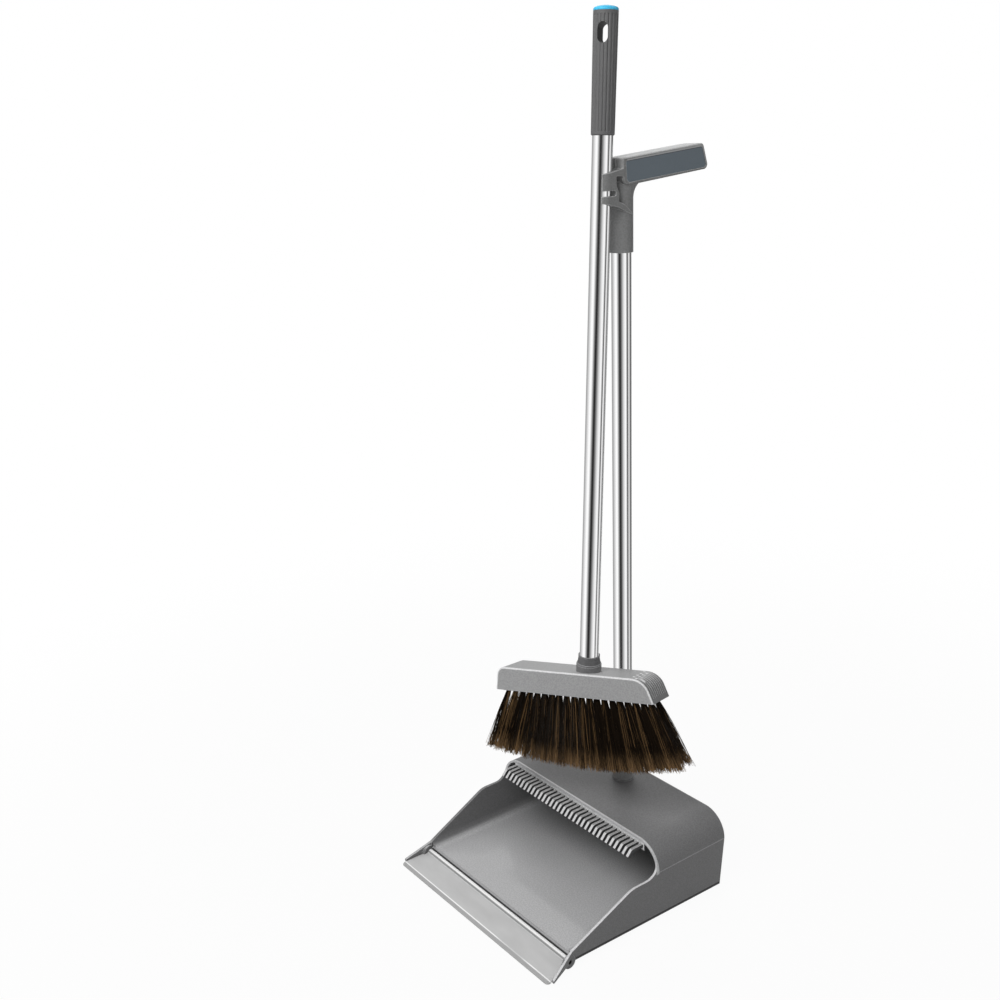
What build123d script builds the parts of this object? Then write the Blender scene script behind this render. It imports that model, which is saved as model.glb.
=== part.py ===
from build123d import *
import math
import os

# Long-handled dust pan and broom set. Millimetres; Z is up, the pan mouth faces -Y,
# the pan pole stands on the Z axis and the floor is the plane Z = 0.

# Clearances
seat_gap = 0.05          # between two pieces fixed to each other
run_gap = 0.05           # radial play of a turning fit
free_gap = 0.3           # between pieces that move past each other

# Pan shell
pan_base_half = 128.0    # half width at the bottom of the side walls
pan_crease_half = 133.5  # half width at the crease between side and hood
crease_z = 62.0
hood_top_z = 90.5
rear_y = 29.0            # outer face of the back
hood_front_y = -73.0     # front rim of the hood
wall_t = 2.8
floor_top_z = 11.5
floor_t = 2.6
floor_fillet = 12.0      # inside, between floor and side walls
skirt_z = 0.4            # lower edge of the walls, just above the feet
skirt_front_rise = 6.0   # lower edge of the walls at the lip channel
shoulder_z = 57.5        # level shelf of the side wall ahead of the hood
shoulder_y = -109.7      # where the shelf meets the sloped wall front
cheek_y = -190.0         # ahead of this the walls flare out beside the lip
nose_y = -221.0          # tips of the flared walls
nose_half = 137.5
nose_z = 3.6
nose_low_z = 0.8
flare_h = 24.0           # height of the block that the flared walls are trimmed from
shoulder_r = 25.0
hood_foot_r = 15.5
rib_x = 45.0
rib_t = 2.0

# Lip and the channel that holds its bead
bead_y = -193.0
bead_r = 3.4
bead_hole_r = 2.0
channel_wall = 3.8
lip_front_y = -227.5
lip_front_z = 0.3
lip_root_t = 2.6
lip_edge_t = 1.7
lip_nose_t = 0.6
lip_bevel = 4.5
lip_corner_r = 4.0
lip_side_gap = 0.8       # lets the strip swing up between the flared walls
mouth_low_deg = -34.0    # channel mouth, measured from the front upwards
mouth_high_deg = 138.0

# Comb under the hood rim
tooth_count = 33
tooth_pitch = 6.8
tooth_w = 3.3
tooth_t = 4.0
tooth_top_z = 85.4
tooth_reach = 16.0       # level run ahead of the hood rim
tooth_drop = 6.6
tooth_hook = 6.0         # run of the bent tip, along Y
tooth_tip_share = 0.6    # tip thickness, as a share of the tooth
tooth_tip_fall_share = 0.45
rail_low_z = 78.5
rail_t = 5.5

# Pan pole
tube_r = 10.5
tube_wall = 0.8
boss_low_z = 58.0
boss_plate = 3.0
boss_wall = 4.0
pole_top_z = 744.0
plug_len = 24.0
collar_wall = 1.5
collar_foot_wall = 2.2
collar_foot_h = 1.4
collar_h = 44.0
screw_r = 2.1
screw_head_r = 4.4
screw_head_h = 3.2
screw_len = 22.0
washer_r = 6.4
washer_t = 1.0
foot_r = 12.0
foot_x = 105.0

# Hand grip on the pan pole
sleeve_wall = 1.9
sleeve_low_z = 696.0
neck_low_z = 750.0       # the neck swells to the rear from here up to the arm
neck_mid_z = 758.0
neck_top_z = 766.0
neck_mid_rear_y = 15.0
neck_top_rear_y = 25.0
neck_top_half = 12.0
arm_root_y = -9.5
arm_root_z = 789.0
arm_end_y = 104.5
arm_end_z = 800.0
arm_heel_y = 113.0
arm_heel_z = 774.0
arm_low_z = 761.5
arm_chamfer = 1.2
arm_corner_r = 5.0
arm_root_r = 8.0
panel_inset = 1.8
panel_left_inset = 4.2
panel_depth = 1.2
panel_corner_r = 4.0
grip_screw_z = 712.0
grip_screw_r = 1.6
cradle_low_z = 773.0
cradle_front_y = -20.0
cradle_rear_y = 6.0
cradle_near_x = 3.0
cradle_gap = 0.9
band_edge_r = 1.2
band_outline = [         # clip band seen from the side, from the clip point
    (-18.5, 14.0),
    (1.4, 16.7),
    (19.5, 20.5),
    (19.5, 12.2),
    (8.5, 13.0),
    (8.4, 4.4),
    (12.2, -3.5),
    (12.2, -7.5),
    (11.7, -11.6),
    (19.4, -14.8),
    (24.3, -18.6),
    (31.5, -25.3),
    (23.3, -22.7),
    (11.7, -17.3),
    (2.1, -15.1),
    (-18.5, -10.5),
]
band_tail = 11           # corner of the outline that stays sharp

# Broom line: a tilted axis through the clip, heights measured from the block underside
broom_tilt_deg = 2.7
clip_y = -26.5
clip_z = 759.0
clip_w = 535.0           # height of the clip point above the block underside
head_yaw_deg = 27.0
head_tilt_deg = 12.0     # the block leans on the pole, its rear edge down
head_roll_deg = 6.0      # and its square left end down
head_drop = 9.2          # block underside below the foot of the broom line
clip_wall = 2.4
clip_h = 46.0            # run of the bore through the clip
clip_near_deg = -40.0    # jaw tips, measured from +X towards +Y
clip_far_deg = -170.0
clip_slot_h = 5.2
clip_slot_mid = -3.5     # middle of the slot, above the clip point
clip_slot_end = 8.1      # closed end of the slot, behind the clip point
clip_slot_len = 40.0

# Broom pole and its grip
tip_collar_w = 27.0      # underside of the pole tip collar
tip_top_w = 37.4
tip_flange_wall = 2.9    # collar walls, outside the tube
tip_low_wall = 2.3
tip_top_wall = 1.1
tip_rim_wall = 1.45
tip_flange_t = 1.2
tip_rim_t = 1.5
stud_r = 8.0
stud_low_w = 0.0
tip_plug_w = 56.0
tip_shoulder = 2.6
broom_tube_top_w = 648.0
grip_low_w = 586.8
grip_top_w = 701.1
grip_low_wall = 1.3      # grip walls, outside the tube
grip_top_wall = 1.8
grip_end_len = 3.4       # plain ends below and above the flutes
grip_chamfer = 1.0
flute_count = 20
flute_depth = 0.8
flute_ridge_share = 0.4  # of each pitch that stays at full radius
hang_slot_w = 10.4
hang_slot_len = 19.0
hang_slot_mid_w = 681.0
hang_slot_az_deg = 33.5
cap_side_h = 1.8
cap_rise = 5.0
cap_steps = 4            # facets of the dome, from rim to crown
cap_spigot_r = 7.0
cap_spigot_len = 5.0

# Broom head: square at the left end, sloped and flared at the right end
block_left_x = -101.5
block_right_x = 86.0
block_half_t = 27.0
block_h = 25.7
block_left_top_x = -100.0
block_left_r = 9.0
block_right_top_x = 74.4
block_right_r = 22.0
block_chamfer = 1.5
groove_count = 8
groove_pitch = 5.6
groove_w = 1.2
groove_depth = 1.0
groove_start_deg = 8.0   # along the end round, from its upper tangent point
groove_end_w = 5.0
boss_r = 14.0
boss_foot_w = 9.0        # the boss is let into the block down to here
strip_count = 4
strip_w = 11.6
strip_left_x = -94.0
strip_right_x = 83.0
strip_t = 4.0
strip_drop = 1.0

# Bristles
tuft_count = 20
tuft_left_x = -89.5
tuft_right_x = 78.5
tuft_strands = 4
strand_r = 0.9
strand_ring_r = 1.7
bristle_len = 74.0
fan_left_deg = -15.0     # lean of the end tufts, along the block
fan_right_deg = 22.0
row_fan_deg = 5.0        # lean of the outer rows, across the block
strand_splay_deg = 1.5

# Derived sizes
hood_r = hood_top_z - crease_z
top_half = pan_crease_half - hood_r
draft = (pan_crease_half - pan_base_half) / (crease_z - skirt_z)
cavity_top_z = hood_top_z - wall_t
cavity_back_y = rear_y - wall_t
floor_low_z = floor_top_z - floor_t
channel_r = bead_r + free_gap
channel_out_r = channel_r + channel_wall
bead_z = channel_out_r
tube_in_r = tube_r - tube_wall
flare = (nose_half - pan_base_half) / (cheek_y - nose_y)
floor_half = pan_base_half - wall_t + draft * (floor_top_z - skirt_z)
under_front_y = bead_y + channel_out_r + channel_wall
mouth_cut_r = channel_out_r + channel_wall / 4
mouth_half = pan_base_half + flare * (cheek_y - bead_y) - wall_t
channel_half = mouth_half + wall_t + free_gap
lip_bead_half = mouth_half - lip_side_gap
lip_notch_y = bead_y - channel_out_r - lip_side_gap
lip_notch_half = pan_base_half + flare * (cheek_y - lip_notch_y) - wall_t - lip_side_gap
lip_front_half = pan_base_half + flare * (cheek_y - lip_front_y) - wall_t - lip_side_gap
comb_half = tooth_pitch * tooth_count / 2
rail_top_z = cavity_top_z - seat_gap
rail_arc_r = hood_r - wall_t - seat_gap
rail_end_z = crease_z + math.sqrt(rail_arc_r ** 2 - (comb_half - top_half) ** 2)
rail_mid_x = (comb_half + top_half) / 2
rail_mid_z = crease_z + math.sqrt(rail_arc_r ** 2 - (rail_mid_x - top_half) ** 2)
tooth_root_y = hood_front_y + rail_t / 2
tooth_bend_y = hood_front_y - tooth_reach
tooth_tip_t = tooth_t * tooth_tip_share
tooth_tip_fall = tooth_t * tooth_tip_fall_share
tooth_bend_r = tooth_t
pole_low_z = boss_low_z + boss_plate + seat_gap
screw_seat_z = boss_low_z - washer_t - 2 * seat_gap
collar_r = tube_r + collar_wall
collar_foot_r = tube_r + collar_foot_wall
sleeve_r = tube_r + sleeve_wall
clip_out_r = tube_r + free_gap + clip_wall
arm_half = clip_out_r    # the arm's sides run flush into the clip band
broom_tube_low_w = tip_collar_w + tip_shoulder
boss_top_w = tip_collar_w - free_gap
grip_low_r = tube_r + grip_low_wall
grip_top_r = tube_r + grip_top_wall
cap_r = grip_top_r
cap_low_w = grip_top_w + seat_gap
dome_h = cap_rise - cap_side_h
dome_points = [
    (
        cap_r * math.cos(math.pi / 2 * i / cap_steps),
        cap_low_w + cap_side_h + dome_h * math.sin(math.pi / 2 * i / cap_steps),
    )
    for i in range(cap_steps)
]
strip_mid_x = (strip_left_x + strip_right_x) / 2
strip_len = strip_right_x - strip_left_x
strand_root_w = strip_t / 4 - strip_drop
end_tilt = math.atan2(block_right_x - block_right_top_x, block_h)
end_turn = math.pi / 2 - end_tilt
end_mid_x = block_right_top_x - block_right_r * math.tan(end_turn / 2)
end_mid_w = block_h - block_right_r
groove_r = block_right_r - groove_depth
groove_span_deg = math.degrees(end_turn) - groove_start_deg
groove_end_x = block_right_x - groove_end_w * math.tan(end_tilt) - groove_depth / math.cos(end_tilt)
row_places = [(i - (strip_count - 1) / 2) * strip_w for i in range(strip_count)]
panel_points = [
    (arm_root_y + panel_left_inset, arm_root_z - panel_inset),
    (arm_end_y - panel_inset, arm_end_z - panel_inset),
    (arm_heel_y - 2 * panel_inset, arm_heel_z + panel_inset),
    (arm_root_y + panel_left_inset + panel_inset, arm_low_z + 2 * panel_inset),
]
band_points = [(clip_y + y, clip_z + z) for y, z in band_outline]
band_low_z = min(z for y, z in band_points)

broom_tilt = math.radians(broom_tilt_deg)
broom_dir = Vector(0, math.sin(broom_tilt), math.cos(broom_tilt))
broom_foot = Vector(0, clip_y, clip_z) - broom_dir * clip_w
yaw = math.radians(head_yaw_deg)
pole_frame = Plane(origin=broom_foot, x_dir=(1, 0, 0), z_dir=broom_dir)
yaw_frame = Plane(origin=broom_foot, x_dir=(math.cos(yaw), math.sin(yaw), 0), z_dir=broom_dir)
roll = math.radians(head_roll_deg)
tilt = math.radians(head_tilt_deg)
head_along = yaw_frame.x_dir * math.cos(roll) + broom_dir * math.sin(roll)
rolled_up = broom_dir * math.cos(roll) - yaw_frame.x_dir * math.sin(roll)
head_frame = Plane(
    origin=broom_foot - broom_dir * head_drop,
    x_dir=head_along,
    z_dir=rolled_up * math.cos(tilt) + rolled_up.cross(head_along) * math.sin(tilt),
)
broom_section = Plane(origin=broom_foot, x_dir=pole_frame.x_dir, z_dir=-pole_frame.y_dir)
head_section = Plane(origin=head_frame.origin, x_dir=head_frame.x_dir, z_dir=-head_frame.y_dir)
slot_az = math.radians(hang_slot_az_deg)
slot_frame = Plane(origin=broom_foot, x_dir=(math.cos(slot_az), math.sin(slot_az), 0), z_dir=broom_dir)
slot_section = Plane(origin=broom_foot, x_dir=slot_frame.x_dir, z_dir=-slot_frame.y_dir)
broom_axis = Axis(broom_foot, broom_dir)
head_up = Axis(broom_foot, head_frame.z_dir)
head_across = Axis(broom_foot, head_frame.y_dir)
flute_half = math.pi / flute_count * flute_ridge_share
flute_turns = []
for i in range(flute_count):
    turn = 2 * math.pi * i / flute_count
    flute_turns.append((turn - flute_half, 0))
    flute_turns.append((turn + flute_half, 0))
    flute_turns.append((turn + math.pi / flute_count, flute_depth))
low_flutes = [((grip_low_r - d) * math.cos(t), (grip_low_r - d) * math.sin(t)) for t, d in flute_turns]
top_flutes = [((grip_top_r - d) * math.cos(t), (grip_top_r - d) * math.sin(t)) for t, d in flute_turns]


def flare_section(half, low_z):
    # cross-section of the block ahead of the floor, with the draft of the side walls
    top = half + draft * flare_h
    return [(-half, low_z), (half, low_z), (top, low_z + flare_h), (-top, low_z + flare_h), (-half, low_z)]


os.makedirs("parts", exist_ok=True)


# Pan shell: one moulding with floor, side walls, back, hood, lip channel and pole boss.
# The hood section is swept along Y, trimmed by the side outline, then hollowed from the mouth.
with BuildPart() as pan_shell:
    with BuildSketch(Plane.XZ.offset(-rear_y)):
        with BuildLine():
            Line((-pan_base_half, skirt_z), (pan_base_half, skirt_z))
            Line((pan_base_half, skirt_z), (pan_crease_half, crease_z))
            CenterArc((top_half, crease_z), hood_r, 0, 90)
            Line((top_half, hood_top_z), (-top_half, hood_top_z))
            CenterArc((-top_half, crease_z), hood_r, 90, 90)
            Line((-pan_crease_half, crease_z), (-pan_base_half, skirt_z))
        make_face()
    extrude(amount=rear_y - cheek_y)
    with BuildSketch(Plane.XZ.offset(-cheek_y)):
        with BuildLine():
            Polyline(*flare_section(pan_base_half, skirt_z))
        make_face()
    with BuildSketch(Plane.XZ.offset(-nose_y)):
        with BuildLine():
            Polyline(*flare_section(nose_half, skirt_z))
        make_face()
    loft(ruled=True)
    with BuildSketch(Plane.YZ):
        with BuildLine() as outline:
            Polyline(
                (rear_y, skirt_z),
                (rear_y, hood_top_z),
                (hood_front_y, hood_top_z),
                (hood_front_y, shoulder_z),
                (shoulder_y, shoulder_z),
                (nose_y, nose_z),
                (nose_y, nose_low_z),
                (bead_y, skirt_front_rise),
                (rear_y, skirt_z),
            )
            foot = outline.vertices().sort_by_distance((hood_front_y, shoulder_z))[0]
            fillet(foot, radius=hood_foot_r)
            shoulder = outline.vertices().sort_by_distance((shoulder_y, shoulder_z))[0]
            fillet(shoulder, radius=shoulder_r)
        make_face()
    extrude(amount=nose_half + wall_t, both=True, mode=Mode.INTERSECT)
    with BuildSketch(Plane.XZ.offset(-cavity_back_y)) as cavity:
        with BuildLine():
            Line((-floor_half, floor_top_z), (floor_half, floor_top_z))
            Line((floor_half, floor_top_z), (pan_crease_half - wall_t, crease_z))
            CenterArc((top_half, crease_z), hood_r - wall_t, 0, 90)
            Line((top_half, cavity_top_z), (-top_half, cavity_top_z))
            CenterArc((-top_half, crease_z), hood_r - wall_t, 90, 90)
            Line((wall_t - pan_crease_half, crease_z), (-floor_half, floor_top_z))
        make_face()
        fillet(cavity.vertices().sort_by(Axis.Y)[:2], radius=floor_fillet)
    extrude(amount=cavity_back_y - cheek_y, mode=Mode.SUBTRACT)
    with BuildSketch(Plane.XZ.offset(-cheek_y)):
        with BuildLine():
            Polyline(*flare_section(pan_base_half - wall_t, skirt_z))
        make_face()
    with BuildSketch(Plane.XZ.offset(-nose_y)):
        with BuildLine():
            Polyline(*flare_section(nose_half - wall_t, skirt_z))
        make_face()
    loft(ruled=True, mode=Mode.SUBTRACT)
    with BuildSketch(Plane.XY):
        with Locations((0, (cavity_back_y + under_front_y) / 2)):
            Rectangle(2 * (pan_base_half - wall_t), cavity_back_y - under_front_y)
    extrude(amount=floor_low_z, mode=Mode.SUBTRACT)
    with BuildSketch(Plane.XY.offset(skirt_front_rise)):
        with Locations((0, (cavity_back_y + under_front_y) / 2)):
            with GridLocations(2 * rib_x, 1, 2, 1):
                Rectangle(rib_t, cavity_back_y - under_front_y)
    extrude(amount=floor_low_z - skirt_front_rise + floor_t / 2)
    with BuildSketch(Plane.YZ):
        with Locations((bead_y, bead_z)):
            Circle(channel_out_r)
    extrude(amount=channel_half, both=True)
    with BuildSketch(Plane.YZ):
        with Locations((bead_y, bead_z)):
            Circle(channel_r)
        with BuildLine():
            low = PolarLine((bead_y, bead_z), mouth_cut_r, 180 - mouth_low_deg)
            high = PolarLine((bead_y, bead_z), mouth_cut_r, 180 - mouth_high_deg)
            mouth_mid = math.radians(180 - (mouth_low_deg + mouth_high_deg) / 2)
            ThreePointArc(
                low @ 1,
                (bead_y + mouth_cut_r * math.cos(mouth_mid), bead_z + mouth_cut_r * math.sin(mouth_mid)),
                high @ 1,
            )
        make_face()
    extrude(amount=mouth_half, both=True, mode=Mode.SUBTRACT)
    with BuildSketch(Plane.YZ):
        with Locations((bead_y, bead_z)):
            Circle(bead_hole_r)
    extrude(amount=nose_half, both=True, mode=Mode.SUBTRACT)
    with BuildSketch(Plane.XY.offset(boss_low_z)):
        Circle(tube_r + seat_gap + boss_wall)
    extrude(amount=cavity_top_z - boss_low_z + wall_t / 2)
    with BuildSketch(Plane.XY.offset(boss_low_z + boss_plate)):
        Circle(tube_r + seat_gap)
    extrude(amount=hood_top_z, mode=Mode.SUBTRACT)
    with BuildSketch(Plane.XY.offset(boss_low_z)):
        Circle(screw_r + seat_gap)
    extrude(amount=boss_plate, mode=Mode.SUBTRACT)
pan_shell.part.label = "pan_shell"
export_step(pan_shell.part, "parts/pan_shell.step")

# Comb: a rail under the hood rim with a row of teeth that reach out and hook down.
with BuildPart() as comb:
    with BuildSketch(Plane.XZ.offset(-hood_front_y - rail_t)):
        with BuildLine():
            Line((-comb_half, rail_low_z), (comb_half, rail_low_z))
            Line((comb_half, rail_low_z), (comb_half, rail_end_z))
            ThreePointArc((comb_half, rail_end_z), (rail_mid_x, rail_mid_z), (top_half, rail_top_z))
            Line((top_half, rail_top_z), (-top_half, rail_top_z))
            ThreePointArc((-top_half, rail_top_z), (-rail_mid_x, rail_mid_z), (-comb_half, rail_end_z))
            Line((-comb_half, rail_end_z), (-comb_half, rail_low_z))
        make_face()
    extrude(amount=rail_t)
    tooth_planes = [Plane.YZ.offset((i - (tooth_count - 1) / 2) * tooth_pitch) for i in range(tooth_count)]
    with BuildSketch(*tooth_planes):
        with BuildLine() as tooth:
            Polyline(
                (tooth_root_y, tooth_top_z),
                (tooth_bend_y, tooth_top_z),
                (tooth_bend_y - tooth_hook, tooth_top_z - tooth_drop),
                (tooth_bend_y - tooth_hook + tooth_tip_t, tooth_top_z - tooth_drop - tooth_tip_fall),
                (tooth_bend_y + tooth_tip_t, tooth_top_z - tooth_t),
                (tooth_root_y, tooth_top_z - tooth_t),
                (tooth_root_y, tooth_top_z),
            )
            bends = tooth.vertices().sort_by_distance((tooth_bend_y, tooth_top_z))[:1]
            fillet(bends, radius=tooth_bend_r)
        make_face()
    extrude(amount=tooth_w / 2, both=True)
comb.part.label = "comb"
export_step(comb.part, "parts/comb.step")

# Lip: a soft strip whose hollow bead turns in the channel under the floor edge.
with BuildPart() as lip:
    with BuildSketch(Plane.YZ):
        with BuildLine():
            Polyline(
                (bead_y, bead_z + lip_root_t / 2),
                (lip_front_y + lip_bevel, lip_front_z + lip_edge_t),
                (lip_front_y, lip_front_z + lip_nose_t),
                (lip_front_y, lip_front_z),
                (lip_front_y + lip_bevel, lip_front_z),
                (bead_y, bead_z - lip_root_t / 2),
                (bead_y, bead_z + lip_root_t / 2),
            )
        make_face()
        with Locations((bead_y, bead_z)):
            Circle(bead_r)
            Circle(bead_hole_r, mode=Mode.SUBTRACT)
    extrude(amount=lip_front_half, both=True)
    with BuildSketch(Plane.XY) as lip_plan:
        with BuildLine():
            Polyline(
                (-lip_bead_half, bead_y + bead_r),
                (lip_bead_half, bead_y + bead_r),
                (lip_bead_half, lip_notch_y),
                (lip_notch_half, lip_notch_y),
                (lip_front_half, lip_front_y),
                (-lip_front_half, lip_front_y),
                (-lip_notch_half, lip_notch_y),
                (-lip_bead_half, lip_notch_y),
                (-lip_bead_half, bead_y + bead_r),
            )
        make_face()
        fillet(lip_plan.vertices().sort_by(Axis.Y)[:2], radius=lip_corner_r)
    extrude(amount=bead_z + bead_r, mode=Mode.INTERSECT)
lip.part.label = "lip"
export_step(lip.part, "parts/lip.step")

# Socket collar: a sleeve with a flanged foot round the pole where it enters the hood.
with BuildPart() as socket_collar:
    with BuildSketch(Plane.XY.offset(hood_top_z + seat_gap)):
        Circle(collar_foot_r)
        Circle(tube_r + seat_gap, mode=Mode.SUBTRACT)
    extrude(amount=collar_foot_h)
    with BuildSketch(Plane.XY.offset(hood_top_z + seat_gap)):
        Circle(collar_r)
        Circle(tube_r + seat_gap, mode=Mode.SUBTRACT)
    extrude(amount=collar_h)
socket_collar.part.label = "socket_collar"
export_step(socket_collar.part, "parts/socket_collar.step")

# Pan pole: a thin stainless tube from the boss in the hood to the hand grip.
with BuildPart() as pole_tube:
    with BuildSketch(Plane.XY.offset(pole_low_z)):
        Circle(tube_r)
        Circle(tube_in_r, mode=Mode.SUBTRACT)
    extrude(amount=pole_top_z - pole_low_z)
pole_tube.part.label = "pole_tube"
export_step(pole_tube.part, "parts/pole_tube.step")

# Pole plug: fills the tube foot and takes the screw that holds the pole.
with BuildPart() as pole_plug:
    with BuildSketch(Plane.XY.offset(pole_low_z)):
        Circle(tube_in_r - seat_gap)
        Circle(screw_r + seat_gap, mode=Mode.SUBTRACT)
    extrude(amount=plug_len)
pole_plug.part.label = "pole_plug"
export_step(pole_plug.part, "parts/pole_plug.step")

# Pole washer and screw, set from inside the pan.
with BuildPart() as pole_washer:
    with BuildSketch(Plane.XY.offset(boss_low_z - seat_gap - washer_t)):
        Circle(washer_r)
        Circle(screw_r + seat_gap, mode=Mode.SUBTRACT)
    extrude(amount=washer_t)
pole_washer.part.label = "pole_washer"
export_step(pole_washer.part, "parts/pole_washer.step")

with BuildPart() as pole_screw:
    with BuildSketch(Plane.XY.offset(screw_seat_z)):
        Circle(screw_r)
    extrude(amount=screw_len)
    with BuildSketch(Plane.XY.offset(screw_seat_z)):
        Circle(screw_head_r)
    extrude(amount=-screw_head_h)
    with BuildSketch(Plane.XY.offset(screw_seat_z - screw_head_h)):
        Rectangle(screw_head_r, screw_r / 2)
        Rectangle(screw_r / 2, screw_head_r)
    extrude(amount=screw_head_h / 2, mode=Mode.SUBTRACT)
pole_screw.part.label = "pole_screw"
export_step(pole_screw.part, "parts/pole_screw.step")

# Feet: three round rubber pads under the rear of the floor.
with BuildPart() as foot_mid:
    with BuildSketch(Plane.XY):
        Circle(foot_r)
    extrude(amount=floor_low_z - seat_gap)
foot_mid.part.label = "foot_mid"
export_step(foot_mid.part, "parts/foot_mid.step")

with BuildPart() as foot_left:
    with BuildSketch(Plane.XY):
        with Locations((-foot_x, 0)):
            Circle(foot_r)
    extrude(amount=floor_low_z - seat_gap)
foot_left.part.label = "foot_left"
export_step(foot_left.part, "parts/foot_left.step")

with BuildPart() as foot_right:
    with BuildSketch(Plane.XY):
        with Locations((foot_x, 0)):
            Circle(foot_r)
    extrude(amount=floor_low_z - seat_gap)
foot_right.part.label = "foot_right"
export_step(foot_right.part, "parts/foot_right.step")

# Hand grip: sleeve on the pole, an arm to the rear and a split spring clip for the broom pole.
# The clip is a band of the arm's width, open beside the neck so that its jaws can spring.
with BuildPart() as hand_grip:
    with BuildSketch(Plane.YZ) as arm:
        with BuildLine():
            Polyline(
                (arm_root_y, arm_root_z),
                (arm_end_y, arm_end_z),
                (arm_heel_y, arm_heel_z),
                (arm_root_y, arm_low_z),
                (arm_root_y, arm_root_z),
            )
        make_face()
        root_corner = arm.vertices().sort_by_distance((arm_root_y, arm_low_z))[0]
        fillet(root_corner, radius=arm_root_r)
        fillet(arm.vertices().sort_by(Axis.X)[-2:], radius=arm_corner_r)
    extrude(amount=arm_half, both=True)
    sides = hand_grip.faces().sort_by(Axis.X)
    chamfer(sides[0].edges() + sides[-1].edges(), length=arm_chamfer)
    with BuildSketch(Plane.XY.offset(neck_low_z)):
        Circle(sleeve_r)
    with BuildSketch(Plane.XY.offset(neck_mid_z)):
        with Locations((0, (neck_mid_rear_y - sleeve_r) / 2)):
            Ellipse(sleeve_r, (neck_mid_rear_y + sleeve_r) / 2)
    with BuildSketch(Plane.XY.offset(neck_top_z)):
        with Locations((0, (neck_top_rear_y - sleeve_r) / 2)):
            Ellipse(neck_top_half, (neck_top_rear_y + sleeve_r) / 2)
    loft()
    with BuildSketch(Plane.XY.offset(sleeve_low_z)):
        Circle(sleeve_r)
    extrude(amount=neck_low_z - sleeve_low_z)
    with BuildSketch(Plane.XZ.offset(-tube_in_r)):
        with Locations((0, grip_screw_z)):
            Circle(grip_screw_r + seat_gap)
    extrude(amount=-sleeve_r, mode=Mode.SUBTRACT)
    with BuildSketch(Plane.XY.offset(cradle_low_z)):
        with Locations(((cradle_near_x - arm_half) / 2, (cradle_front_y + cradle_rear_y) / 2)):
            Rectangle(cradle_near_x + arm_half, cradle_rear_y - cradle_front_y)
    extrude(amount=arm_root_z - cradle_low_z)
    with BuildSketch(pole_frame.offset(clip_w)):
        Circle(tube_r + cradle_gap)
    extrude(amount=clip_h, mode=Mode.SUBTRACT)
    with BuildSketch(Plane.YZ) as band:
        with BuildLine():
            Polyline(*band_points, band_points[0])
        make_face()
        tail = band.vertices().sort_by_distance(band_points[band_tail])[0]
        fillet([v for v in band.vertices() if v != tail], radius=band_edge_r)
    extrude(amount=clip_out_r, both=True)
    with BuildSketch(Plane.XY.offset(band_low_z)):
        with Locations((0, clip_y - clip_out_r)):
            Rectangle(4 * clip_out_r, 2 * clip_out_r)
        with Locations((0, clip_y)):
            Circle(clip_out_r, mode=Mode.SUBTRACT)
    extrude(amount=arm_root_z - band_low_z, mode=Mode.SUBTRACT)
    with BuildSketch(Plane.XY.offset(band_low_z)):
        with Locations((0, clip_out_r / 2)):
            Rectangle(4 * clip_out_r, clip_out_r)
        Circle(clip_out_r, mode=Mode.SUBTRACT)
    extrude(amount=neck_low_z - band_low_z, mode=Mode.SUBTRACT)
    with BuildSketch(pole_frame.offset(clip_w - clip_h)):
        with BuildLine():
            near = PolarLine((0, 0), 2 * clip_out_r, clip_near_deg)
            far = PolarLine((0, 0), 2 * clip_out_r, clip_far_deg)
            Polyline((0, 0), near @ 1, (0, -3 * clip_out_r), far @ 1, (0, 0))
        make_face()
    extrude(amount=2 * clip_h, mode=Mode.SUBTRACT)
    with BuildSketch(pole_frame.offset(clip_w - clip_h)):
        Circle(tube_r + free_gap)
    extrude(amount=2 * clip_h, mode=Mode.SUBTRACT)
    with BuildSketch(Plane.YZ):
        with Locations((clip_y + clip_slot_end - clip_slot_len / 2, clip_z + clip_slot_mid)):
            SlotOverall(clip_slot_len, clip_slot_h)
    extrude(amount=clip_out_r, both=True, mode=Mode.SUBTRACT)
    with BuildSketch(Plane.XY.offset(sleeve_low_z)):
        Circle(tube_r + seat_gap)
    extrude(amount=pole_top_z + seat_gap - sleeve_low_z, mode=Mode.SUBTRACT)
    with BuildSketch(Plane.YZ.offset(arm_half - panel_depth), Plane.YZ.offset(-arm_half)) as inlay_seats:
        with BuildLine():
            Polyline(*panel_points, panel_points[0])
        make_face()
        fillet(inlay_seats.vertices(), radius=panel_corner_r)
    extrude(amount=panel_depth, mode=Mode.SUBTRACT)
hand_grip.part.label = "hand_grip"
export_step(hand_grip.part, "parts/hand_grip.step")

# Grip panels: dark inlays let into both flat sides of the arm.
with BuildPart() as panel_right:
    with BuildSketch(Plane.YZ.offset(arm_half - panel_depth + seat_gap)) as inlay:
        with BuildLine():
            Polyline(*panel_points, panel_points[0])
        make_face()
        fillet(inlay.vertices(), radius=panel_corner_r)
        offset(amount=-seat_gap, mode=Mode.REPLACE)
    extrude(amount=panel_depth - seat_gap)
panel_right.part.label = "panel_right"
export_step(panel_right.part, "parts/panel_right.step")

with BuildPart() as panel_left:
    with BuildSketch(Plane.YZ.offset(-arm_half)) as far_inlay:
        with BuildLine():
            Polyline(*panel_points, panel_points[0])
        make_face()
        fillet(far_inlay.vertices(), radius=panel_corner_r)
        offset(amount=-seat_gap, mode=Mode.REPLACE)
    extrude(amount=panel_depth - seat_gap)
panel_left.part.label = "panel_left"
export_step(panel_left.part, "parts/panel_left.step")

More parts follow.
